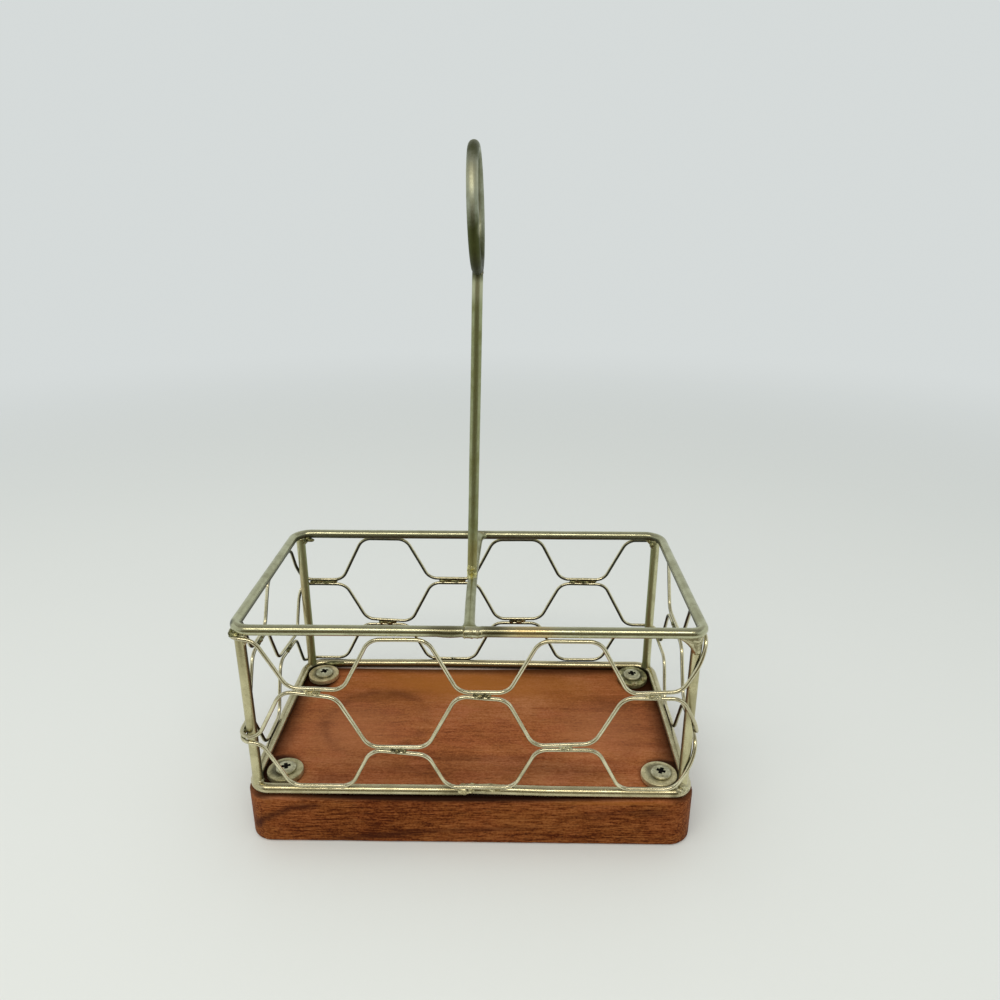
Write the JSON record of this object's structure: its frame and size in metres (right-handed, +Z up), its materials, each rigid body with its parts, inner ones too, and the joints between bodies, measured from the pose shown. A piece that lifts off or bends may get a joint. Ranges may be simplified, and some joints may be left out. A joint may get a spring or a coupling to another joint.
{
  "type": "sugar packet holder",
  "caption": "Free-standing sugar packet holder: a brass-coloured wire basket with honeycomb sides on a wooden base, carried by an upright rod with a finger loop.",
  "frame": {"origin": "on the table, under the middle of the wooden base", "axes": "+Z up, the front of the basket faces -Y, +X to the right"},
  "size_m": [0.1414, 0.077, 0.2073],
  "materials": {
    "wood": "reddish-brown hardwood, satin varnish",
    "frame_wire": "steel wire with an antique brass coloured finish, satin",
    "honeycomb_wire": "thin steel wire with a champagne brass coloured finish, satin",
    "washer": "steel with a dull champagne coloured finish",
    "screw": "steel with a dull champagne coloured finish"
  },
  "bodies": {
    "root": {"wood_base": "wood", "bottom_ring": "frame_wire", "top_ring": "frame_wire", "post_front_left": "frame_wire", "post_front_right": "frame_wire", "post_back_left": "frame_wire", "post_back_right": "frame_wire", "cross_bar": "frame_wire", "handle_rod": "frame_wire", "finger_loop": "frame_wire", "honeycomb_wire_top": "honeycomb_wire", "honeycomb_wire_middle": "honeycomb_wire", "honeycomb_wire_bottom": "honeycomb_wire", "washer_front_left": "washer", "washer_front_right": "washer", "washer_back_left": "washer", "washer_back_right": "washer", "screw_front_left": "screw", "screw_front_right": "screw", "screw_back_left": "screw", "screw_back_right": "screw"}
  },
  "joints": []
}
